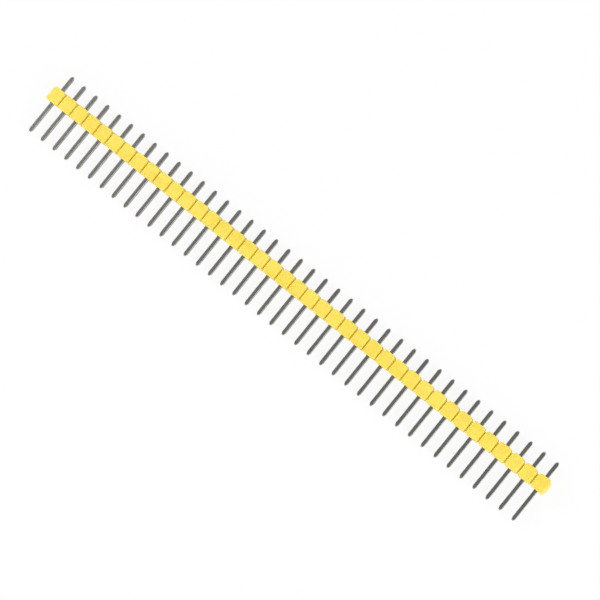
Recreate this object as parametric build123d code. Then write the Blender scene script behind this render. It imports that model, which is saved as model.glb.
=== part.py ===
from build123d import *
import os

# A break-away pin header strip, in millimetres. It lies on one broad side of its housing.
# +X runs along the row, +Y along the pins towards the mating ends, and +Z is up.
# The origin is the middle of the row, on the pins' axes, in the face that seats on a board.

# Row
pin_count = 40
pitch = 2.54                # from one pin's axis to the next, and the length of one block

# Housing, one moulding
housing_height = 2.54       # along the pins, from the seat face to the mating face
housing_depth = 2.54        # across the row, from one broad side to the other

# V grooves round each break line, on all four sides of the housing
seat_groove_width = 0.90
seat_groove_depth = 0.55
mating_groove_width = 0.50
mating_groove_depth = 0.40
broad_groove_width = 0.50
broad_groove_depth = 0.50

# Pins, square wire with rounded corners and a blunt taper at each end
pin_width = 0.64
pin_corner_radius = 0.08
tail_length = 2.85          # out of the seat face, taper included
mating_length = 5.80        # out of the mating face, taper included
tail_tip_length = 0.40
tail_tip_width = 0.30
mating_tip_length = 0.45
mating_tip_width = 0.28
pin_clearance = 0.0         # between each flat of a pin and its hole: a press fit, flat on flat

# Worked out from the sizes above
housing_length = pin_count * pitch
half_length = housing_length / 2
half_depth = housing_depth / 2
hole_width = pin_width + 2 * pin_clearance
pin_bottom = -tail_length
pin_top = housing_height + mating_length


def grooved_side(side, groove_depth, groove_width):
    """Points of one long side from -X to +X: a V at each break line, half a V at each end."""
    bottom = side + groove_depth
    reach = groove_width / 2
    points = [(-half_length, bottom), (-half_length + reach, side)]
    for block in range(1, pin_count):
        break_line = -half_length + block * pitch
        points += [(break_line - reach, side), (break_line, bottom), (break_line + reach, side)]
    points += [(half_length - reach, side), (half_length, bottom)]
    return points


def grooved_outline(near_side, far_side):
    """A closed face between two grooved long sides."""
    return Polygon(*near_side, *reversed(far_side), align=None)


def make_housing():
    """The whole moulding: its outline along Z and its outline along Y, where the two meet."""
    seat_side = grooved_side(0, seat_groove_depth, seat_groove_width)
    mating_side = grooved_side(housing_height, -mating_groove_depth, mating_groove_width)
    broad_view = extrude(grooved_outline(seat_side, mating_side), half_depth, both=True)

    lower_side = grooved_side(-half_depth, broad_groove_depth, broad_groove_width)
    upper_side = grooved_side(half_depth, -broad_groove_depth, broad_groove_width)
    pin_holes = GridLocations(pitch, pitch, pin_count, 1) * Rectangle(hole_width, hole_width)
    end_on_view = grooved_outline(lower_side, upper_side) - pin_holes
    return broad_view & extrude(Plane.XZ * end_on_view, -housing_height)


def make_pin():
    """One pin on the Y axis: rounded square wire, cut to a taper on its four flats."""
    wire_section = RectangleRounded(pin_width, pin_width, pin_corner_radius)
    wire = extrude(Plane.XZ * wire_section, -pin_top) + extrude(Plane.XZ * wire_section, tail_length)
    right_half = [
        (tail_tip_width / 2, pin_bottom),
        (pin_width / 2, pin_bottom + tail_tip_length),
        (pin_width / 2, pin_top - mating_tip_length),
        (mating_tip_width / 2, pin_top),
    ]
    left_half = [(-x, y) for x, y in reversed(right_half)]
    flat_taper = extrude(Polygon(*right_half, *left_half, align=None), pin_width, both=True)
    side_taper = Rot(0, 90, 0) * flat_taper
    return wire & flat_taper & side_taper


def save(node, shape):
    """One STEP file for one sub-part."""
    shape.label = node
    export_step(shape, f"parts/{node}.step")


os.makedirs("parts", exist_ok=True)
save("housing", make_housing())
pin = make_pin()
for number in range(1, pin_count + 1):
    pin_x = -half_length + (number - 0.5) * pitch
    save(f"pin_{number:02d}", Pos(pin_x, 0, 0) * pin)
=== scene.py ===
import bmesh
import bpy
import math
from mathutils import Matrix, Vector


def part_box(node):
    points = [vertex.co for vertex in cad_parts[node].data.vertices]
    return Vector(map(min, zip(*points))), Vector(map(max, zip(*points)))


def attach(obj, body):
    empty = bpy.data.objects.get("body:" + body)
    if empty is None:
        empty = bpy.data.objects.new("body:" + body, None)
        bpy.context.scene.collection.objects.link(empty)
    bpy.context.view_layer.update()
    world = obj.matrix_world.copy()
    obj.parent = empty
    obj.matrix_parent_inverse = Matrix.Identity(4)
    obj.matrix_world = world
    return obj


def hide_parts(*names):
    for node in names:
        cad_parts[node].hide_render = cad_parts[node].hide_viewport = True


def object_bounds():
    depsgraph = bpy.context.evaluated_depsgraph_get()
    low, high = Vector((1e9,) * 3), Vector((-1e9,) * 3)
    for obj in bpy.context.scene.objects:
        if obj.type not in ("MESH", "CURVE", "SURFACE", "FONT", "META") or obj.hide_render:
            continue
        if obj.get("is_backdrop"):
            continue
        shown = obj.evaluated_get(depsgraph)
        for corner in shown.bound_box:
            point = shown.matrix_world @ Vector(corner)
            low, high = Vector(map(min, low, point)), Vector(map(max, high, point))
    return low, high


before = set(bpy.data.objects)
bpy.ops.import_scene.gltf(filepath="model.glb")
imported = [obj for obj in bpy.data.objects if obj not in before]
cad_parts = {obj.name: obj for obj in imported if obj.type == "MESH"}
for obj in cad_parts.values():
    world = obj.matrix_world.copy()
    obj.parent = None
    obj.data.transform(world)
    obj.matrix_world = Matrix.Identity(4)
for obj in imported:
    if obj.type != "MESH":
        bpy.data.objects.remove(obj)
cadLow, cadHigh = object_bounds()

mm = 0.001
weldGap = 0.001 * mm    # points nearer than this are one point
squareOn = 0.99         # part of a unit normal along an axis, above which a face looks that way
smoothAngle = 32        # degrees between two faces that still shade as one surface
housingLow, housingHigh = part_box("housing")
pinNodes = sorted(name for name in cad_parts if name.startswith("pin_"))
pinBoxes = [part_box(name) for name in pinNodes]
pinMiddles = [(low.x + high.x) / 2 for low, high in pinBoxes]
pitch = (pinMiddles[-1] - pinMiddles[0]) / (len(pinMiddles) - 1)
pinWidth = pinBoxes[0][1].x - pinBoxes[0][0].x
pinAxisHeight = (pinBoxes[0][0].z + pinBoxes[0][1].z) / 2


class Signal:
    # one socket of a node tree, so that shader maths reads as plain expressions
    def __init__(self, tree, socket):
        self.tree = tree
        self.socket = socket

    def maths(self, operation, first, second):
        node = self.tree.nodes.new("ShaderNodeMath")
        node.operation = operation
        for socket, value in zip(node.inputs, (first, second)):
            feed(self.tree, socket, value)
        return Signal(self.tree, node.outputs[0])

    def __add__(self, other):
        return self.maths("ADD", self, other)

    def __radd__(self, other):
        return self.maths("ADD", other, self)

    def __sub__(self, other):
        return self.maths("SUBTRACT", self, other)

    def __rsub__(self, other):
        return self.maths("SUBTRACT", other, self)

    def __mul__(self, other):
        return self.maths("MULTIPLY", self, other)

    def __rmul__(self, other):
        return self.maths("MULTIPLY", other, self)


def feed(tree, socket, value):
    if isinstance(value, Signal):
        tree.links.new(value.socket, socket)
    else:
        socket.default_value = value


class Finish:
    # a material that starts with only its output node
    def __init__(self, name):
        self.material = bpy.data.materials.new(name)
        self.material.use_nodes = True
        self.tree = self.material.node_tree
        self.tree.nodes.clear()
        self.output = self.tree.nodes.new("ShaderNodeOutputMaterial")

    def node(self, kind, settings=None, inputs=None, output=0):
        made = self.tree.nodes.new("ShaderNode" + kind)
        for key, value in (settings or {}).items():
            setattr(made, key, value)
        for key, value in (inputs or {}).items():
            feed(self.tree, made.inputs[key], value)
        return Signal(self.tree, made.outputs[output])

    def surface(self, shader):
        feed(self.tree, self.output.inputs["Surface"], shader)
        return self.material

    def place(self, stretch=(1, 1, 1)):
        # a pattern is drawn out along an axis whose number is under 1
        spot = self.node("TexCoord", output="Object")
        return self.node("Mapping", inputs={"Vector": spot, "Scale": stretch})

    def noise(self, place, size, detail=2.0):
        # size is that of one blotch, in metres
        return self.node("TexNoise", {"noise_dimensions": "3D"}, {
            "Vector": place, "Scale": 1 / size, "Detail": detail})

    def spread(self, value, low, high):
        # 0 up to low and 1 from high on; low may be the larger of the two
        return self.node("MapRange", {"clamp": True}, {
            "Value": value, "From Min": low, "From Max": high, "To Min": 0.0, "To Max": 1.0})

    def blend(self, amount, first, second):
        return self.node("Mix", {"data_type": "RGBA"}, {0: amount, 6: first, 7: second}, output=2)

    def bump(self, height, depth):
        # depth is the relief, in metres, of a height of 1
        return self.node("Bump", inputs={"Height": height, "Distance": depth, "Strength": 1.0})


def openEdges(bm):
    return [edge for edge in bm.edges if edge.is_boundary]


def roundEdges(bm, edges, radius, segments=2):
    bmesh.ops.bevel(bm, geom=edges, offset=radius, segments=segments, profile=0.5,
                    affect="EDGES", material=-1)


def runsLengthwise(edge):
    # whether the edge runs the way that the pins do
    return abs(edge.verts[0].co.y - edge.verts[1].co.y) > weldGap


def makePiece(name, bm, material, nodes, body="root"):
    mesh = bpy.data.meshes.new(name)
    bm.to_mesh(mesh)
    bm.free()
    mesh.materials.append(material)
    for polygon in mesh.polygons:
        polygon.use_smooth = True
    mesh.set_sharp_from_angle(angle=math.radians(smoothAngle))
    piece = bpy.data.objects.new(name, mesh)
    bpy.context.scene.collection.objects.link(piece)
    shading = piece.modifiers.new("evenShading", "WEIGHTED_NORMAL")
    shading.keep_sharp = True
    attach(piece, body)
    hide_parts(*nodes)
    return piece


housing = {
    # half the width and the depth of the V groove in each side, at every break line
    "seatGroove": (0.45 * mm, 0.55 * mm),
    "matingGroove": (0.25 * mm, 0.40 * mm),
    "broadGroove": (0.25 * mm, 0.50 * mm),
    "ridgeRound": 0.12 * mm,
    "ridgeSegments": 3,
    "ridgeAngle": 15,                           # degrees between two sides, above which their edge is rounded
    "endRound": 0.072 * mm,                     # round the two end faces
    "holeRound": 0.05 * mm,
    "color": (0.90, 0.72, 0.108, 1.0),
    "deepColor": (0.87, 0.665, 0.08, 1.0),
    "flow": 1.6 * mm,                           # size of the patches of the deeper colour
    "flowStretch": (0.35, 1, 1),                # drawn out along the row, as the melt ran
    "flowEdges": (0.38, 0.68),                  # noise at which that colour starts and is full
    "roughness": 0.42,
    "gloss": 0.7 * mm,                          # size of the patches of more and less gloss
    "glossChange": 0.16,                        # change of roughness between them
    "grain": 0.05 * mm,
    "grainChange": 0.1,                         # change of roughness over the grain
    "wave": 0.25 * mm,                          # size of the shallow waves under the grain
    "reliefDepth": 0.0025 * mm,
    "grainShare": 0.6,                          # heights of the grain and the waves in reliefDepths
    "waveShare": 1.4,
    "glowThrough": 0.25,
    "glowDepth": 0.35 * mm,
    "glowReach": (1.0, 1.0, 0.25),              # how far red, green and blue spread, in glowDepths
}


def cutCorner(bm, point, normal):
    # slices off what lies beyond the plane and closes the cut
    everything = bm.verts[:] + bm.edges[:] + bm.faces[:]
    bmesh.ops.bisect_plane(bm, geom=everything, plane_co=point, plane_no=normal.normalized(),
                           clear_outer=True, dist=weldGap)
    bmesh.ops.holes_fill(bm, edges=openEdges(bm))


def nearHole(part, room):
    # whether every corner is inside the pin's square with that much room round it
    reach = pinWidth / 2 + room
    return all(max(abs(v.co.x), abs(v.co.z - pinAxisHeight)) < reach for v in part.verts)


def isRidge(edge):
    # an outer edge between two flat sides, away from the hole and the open ends
    if len(edge.link_faces) != 2 or nearHole(edge, 2 * housing["holeRound"]):
        return False
    return edge.calc_face_angle() > math.radians(housing["ridgeAngle"])


def cutGrooves(bm, size, middle):
    # half of each V groove, at both ends of the block
    for end in (-1, 1):
        for reach, depth, side, halfSize in (
            (*housing["seatGroove"], Vector((0, -1, 0)), size.y / 2),
            (*housing["matingGroove"], Vector((0, 1, 0)), size.y / 2),
            (*housing["broadGroove"], Vector((0, 0, -1)), size.z / 2),
            (*housing["broadGroove"], Vector((0, 0, 1)), size.z / 2),
        ):
            shoulder = Vector((end * (pitch / 2 - reach), middle.y, middle.z)) + side * halfSize
            normal = Vector((end * depth, 0, 0)) + side * reach
            cutCorner(bm, shoulder, normal)


def cutHole(bm, size):
    # the square hole for the pin, from the seat face to the mating face
    for way in (-1, 1):
        face = next(face for face in bm.faces if face.normal.y * way > squareOn)
        inner = bmesh.ops.extrude_discrete_faces(bm, faces=[face])["faces"][0]
        reach = max(v.co.x for v in inner.verts)
        bmesh.ops.scale(bm, vec=(pinWidth / 2 / reach, 1, pinWidth / size.z), verts=inner.verts)
    plugs = [face for face in bm.faces if nearHole(face, weldGap)]
    rims = [edge for face in plugs for edge in face.edges]
    bmesh.ops.delete(bm, geom=plugs, context="FACES")
    bmesh.ops.bridge_loops(bm, edges=rims)


def makeBlock():
    # one pitch of the strip, centred on its pin, open at both ends where its neighbours join
    size = housingHigh - housingLow
    middle = (housingLow + housingHigh) / 2
    bm = bmesh.new()
    bmesh.ops.create_cube(bm, size=1)
    bmesh.ops.scale(bm, vec=(pitch, size.y, size.z), verts=bm.verts)
    bmesh.ops.translate(bm, vec=(0, middle.y, middle.z), verts=bm.verts)
    cutGrooves(bm, size, middle)
    cutHole(bm, size)
    sideways = [face for face in bm.faces if abs(face.normal.x) > squareOn]
    webs = [face for face in sideways if abs(face.calc_center_median().x) > pinWidth]
    bmesh.ops.delete(bm, geom=webs, context="FACES")
    bmesh.ops.recalc_face_normals(bm, faces=bm.faces)
    rims = [edge for edge in bm.edges if nearHole(edge, weldGap) and not runsLengthwise(edge)]
    roundEdges(bm, rims, housing["holeRound"])
    ridges = [edge for edge in bm.edges if isRidge(edge)]
    roundEdges(bm, ridges, housing["ridgeRound"], housing["ridgeSegments"])
    return bm


def joinBlocks(block):
    # a block at every pin, welded into one strip with closed ends
    bm = bmesh.new()
    blockMesh = bpy.data.meshes.new("block")
    block.to_mesh(blockMesh)
    for middle in pinMiddles:
        known = set(bm.verts)
        bm.from_mesh(blockMesh)
        fresh = [v for v in bm.verts if v not in known]
        bmesh.ops.translate(bm, vec=(middle, 0, 0), verts=fresh)
    bpy.data.meshes.remove(blockMesh)
    bmesh.ops.remove_doubles(bm, verts=bm.verts, dist=weldGap)
    ends = bmesh.ops.holes_fill(bm, edges=openEdges(bm))["faces"]
    bmesh.ops.recalc_face_normals(bm, faces=bm.faces)
    roundEdges(bm, [edge for face in ends for edge in face.edges], housing["endRound"])
    return bm


def yellowPlastic():
    finish = Finish("yellowPlastic")
    place = finish.place()
    flow = finish.noise(finish.place(housing["flowStretch"]), housing["flow"], detail=3.0)
    deep = finish.spread(flow, *housing["flowEdges"])
    gloss = (finish.noise(place, housing["gloss"]) - 0.5) * housing["glossChange"]
    grain = finish.noise(place, housing["grain"])
    waves = finish.noise(place, housing["wave"])
    height = grain * housing["grainShare"] + waves * housing["waveShare"]
    shader = finish.node("BsdfPrincipled", inputs={
        "Base Color": finish.blend(deep, housing["color"], housing["deepColor"]),
        "Roughness": housing["roughness"] + gloss + (grain - 0.5) * housing["grainChange"],
        "IOR": 1.5,
        "Subsurface Weight": housing["glowThrough"],
        "Subsurface Radius": housing["glowReach"],
        "Subsurface Scale": housing["glowDepth"],
        "Normal": finish.bump(height, housing["reliefDepth"])})
    return finish.surface(shader)


block = makeBlock()
strip = joinBlocks(block)
block.free()
makePiece("mouldedHousing", strip, yellowPlastic(), ["housing"])
print("housing moulded")

pins = {
    "tailTip": (0.40 * mm, 0.30 * mm),          # length of the taper, and width of its end
    "matingTip": (0.45 * mm, 0.28 * mm),
    "cornerRound": 0.08 * mm,
    "cornerSegments": 3,
    "tipRound": 0.035 * mm,
    "color": (0.335, 0.33, 0.31, 1.0),
    "dullColor": (0.27, 0.265, 0.245, 1.0),
    "dull": 0.5 * mm,                           # size of the patches of duller plating
    "dullStretch": (1, 0.4, 1),
    "dullEdges": (0.42, 0.66),                  # noise at which the duller colour starts and is full
    "dullChange": 0.2,                          # change of roughness between the patches
    "roughness": 0.30,
    "streak": 0.03 * mm,                        # width of the drawing marks along the wire
    "streakStretch": (1, 0.02, 1),
    "streakDepth": 0.0008 * mm,
    "streakChange": 0.12,                       # change of roughness over the marks
    "endShadeColor": (0.17, 0.155, 0.13, 1.0),       # unplated metal where the wire was cut, darkened further as painted shade for the dark reflections in the tapered ends
    "tipReach": (0.20 * mm, 0.02 * mm),         # distances from the end where it starts and is full
    "tipEdges": (0.3, 0.6),                     # noise at which it starts and is full
    "tipChange": 0.15,                          # roughness added by it
}


def makePin(low, high):
    # a straight shaft with a blunt four-sided taper at each end
    bm = bmesh.new()
    bmesh.ops.create_cube(bm, size=1)
    tailLength, tailWidth = pins["tailTip"]
    matingLength, matingWidth = pins["matingTip"]
    shaftLow, shaftHigh = low.y + tailLength, high.y - matingLength
    bmesh.ops.scale(bm, vec=(pinWidth, shaftHigh - shaftLow, pinWidth), verts=bm.verts)
    bmesh.ops.translate(bm, vec=(0, (shaftLow + shaftHigh) / 2, 0), verts=bm.verts)
    for way, length, width in ((-1, tailLength, tailWidth), (1, matingLength, matingWidth)):
        cap = [face for face in bm.faces if face.normal.y * way > squareOn]
        tip = bmesh.ops.extrude_discrete_faces(bm, faces=cap)["faces"][0]
        bmesh.ops.translate(bm, vec=(0, way * length, 0), verts=tip.verts)
        bmesh.ops.scale(bm, vec=(width / pinWidth, 1, width / pinWidth), verts=tip.verts,
                        space=Matrix.Translation((0, -tip.calc_center_median().y, 0)))
    corners = [edge for edge in bm.edges if runsLengthwise(edge)]
    roundEdges(bm, corners, pins["cornerRound"], pins["cornerSegments"])
    ends = [face for face in bm.faces if abs(face.normal.y) > squareOn]
    roundEdges(bm, [edge for face in ends for edge in face.edges], pins["tipRound"])
    centre = (low + high) / 2
    bmesh.ops.translate(bm, vec=(centre.x, 0, centre.z), verts=bm.verts)
    bmesh.ops.recalc_face_normals(bm, faces=bm.faces)
    return bm


def tinPlate():
    finish = Finish("tinPlate")
    streaks = finish.noise(finish.place(pins["streakStretch"]), pins["streak"], detail=3.0)
    patches = finish.noise(finish.place(pins["dullStretch"]), pins["dull"], detail=3.0)
    dull = finish.spread(patches, *pins["dullEdges"])
    color = finish.blend(dull, pins["color"], pins["dullColor"])
    y = finish.node("SeparateXYZ", inputs={"Vector": finish.node("TexCoord", output="Object")}, output=1)
    tailEnd = finish.spread(y, *(cadLow.y + reach for reach in pins["tipReach"]))
    matingEnd = finish.spread(y, *(cadHigh.y - reach for reach in pins["tipReach"]))
    # painted shade: the pin ends turn darker in noisy patches over their last 0.2 mm, standing in for the
    # dark reflections in the tapers as well as for unplated cut metal
    unplatedAndShadedEnd = (tailEnd + matingEnd) * finish.spread(patches, *pins["tipEdges"])
    roughness = (pins["roughness"] + (patches - 0.5) * pins["dullChange"]
                 + (streaks - 0.5) * pins["streakChange"] + unplatedAndShadedEnd * pins["tipChange"])
    shader = finish.node("BsdfPrincipled", inputs={
        "Base Color": finish.blend(unplatedAndShadedEnd, color, pins["endShadeColor"]),
        "Metallic": 1.0,
        "Roughness": roughness,
        "Normal": finish.bump(streaks, pins["streakDepth"])})
    return finish.surface(shader)


plate = tinPlate()
for node, (low, high) in zip(pinNodes, pinBoxes):
    makePiece("plated" + node.replace("pin_", "Pin"), makePin(low, high), plate, [node])
print("pins plated")

stage = {
    "floorRadius": 3.0,
    "floorSides": 96,
    "floorGap": 0.01 * mm,                      # keeps the floor just clear of the faces that lie on it
    "wallHeight": 1.6,
    "shade": 0.88,                              # what the floor throws back
    "glow": 0.90,                               # share of plain white in what camera and metal see of it
    "worldLevel": 0.33,
}


def paleStage():
    # near white to the camera and in reflections, and still shaded by the object
    finish = Finish("paleStage")
    seen = finish.node("LightPath", output="Is Camera Ray")
    mirrored = finish.node("LightPath", output="Is Glossy Ray")
    passed = finish.node("LightPath", output="Is Transmission Ray")
    diffuse = finish.node("BsdfDiffuse", inputs={"Color": (stage["shade"],) * 3 + (1,)})
    white = finish.node("Emission", inputs={"Strength": 1.0})
    amount = (seen + mirrored + passed) * stage["glow"]
    return finish.surface(finish.node("MixShader", inputs={0: amount, 1: diffuse, 2: white}))


def makeStage():
    # a round floor with a wall standing on its rim
    bm = bmesh.new()
    bmesh.ops.create_circle(bm, cap_ends=True, radius=stage["floorRadius"], segments=stage["floorSides"])
    bmesh.ops.translate(bm, vec=(0, 0, cadLow.z - stage["floorGap"]), verts=bm.verts)
    rim = bmesh.ops.extrude_edge_only(bm, edges=openEdges(bm))["geom"]
    rimVerts = [part for part in rim if isinstance(part, bmesh.types.BMVert)]
    bmesh.ops.translate(bm, vec=(0, 0, stage["wallHeight"]), verts=rimVerts)
    mesh = bpy.data.meshes.new("floorAndWall")
    bm.to_mesh(mesh)
    bm.free()
    mesh.materials.append(paleStage())
    floor = bpy.data.objects.new("floorAndWall", mesh)
    bpy.context.scene.collection.objects.link(floor)
    floor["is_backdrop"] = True


def lightRoom():
    world = bpy.data.worlds.new("room")
    world.use_nodes = True
    background = world.node_tree.nodes["Background"]
    background.inputs["Color"].default_value = (1, 1, 1, 1)
    background.inputs["Strength"].default_value = stage["worldLevel"]
    bpy.context.scene.world = world
    bpy.context.scene.view_settings.view_transform = "Standard"


makeStage()
lightRoom()

lamps = {
    # place and width in metres, and power in watts; each square lamp faces the middle of the row
    "firstEndBox": ((-0.75, 0.05, 0.50), 0.75, 6.3),
    "lastEndBox": ((0.75, 0.05, 0.50), 0.75, 5.7),
    "matingSideBox": ((0.0, 0.85, 0.32), 0.45, 2.2),
    "tailSideBox": ((0.0, -0.85, 0.32), 0.45, 1.2),
}


def addLamp(name, place, width, power):
    light = bpy.data.lights.new(name, "AREA")
    light.shape = "SQUARE"
    light.size = width
    light.energy = power
    lamp = bpy.data.objects.new(name, light)
    lamp.location = place
    lamp.rotation_euler = (-Vector(place)).to_track_quat("-Z", "Y").to_euler()
    bpy.context.scene.collection.objects.link(lamp)


for name, (place, width, power) in lamps.items():
    addLamp(name, place, width, power)

view = {
    "place": (-77.93 * mm, 11.49 * mm, 341.08 * mm),    # from the middle of the row
    "turn": (9.059, 8.727, -140.479),                   # degrees about X, Y and Z
    "lens": 134.56,
}
camera = bpy.data.objects.new("camera", bpy.data.cameras.new("camera"))
camera.location = view["place"]
camera.rotation_euler = [math.radians(angle) for angle in view["turn"]]
camera.data.lens = view["lens"]
bpy.context.scene.collection.objects.link(camera)
bpy.context.scene.camera = camera
print("stage, lights and camera set")

low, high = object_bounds()
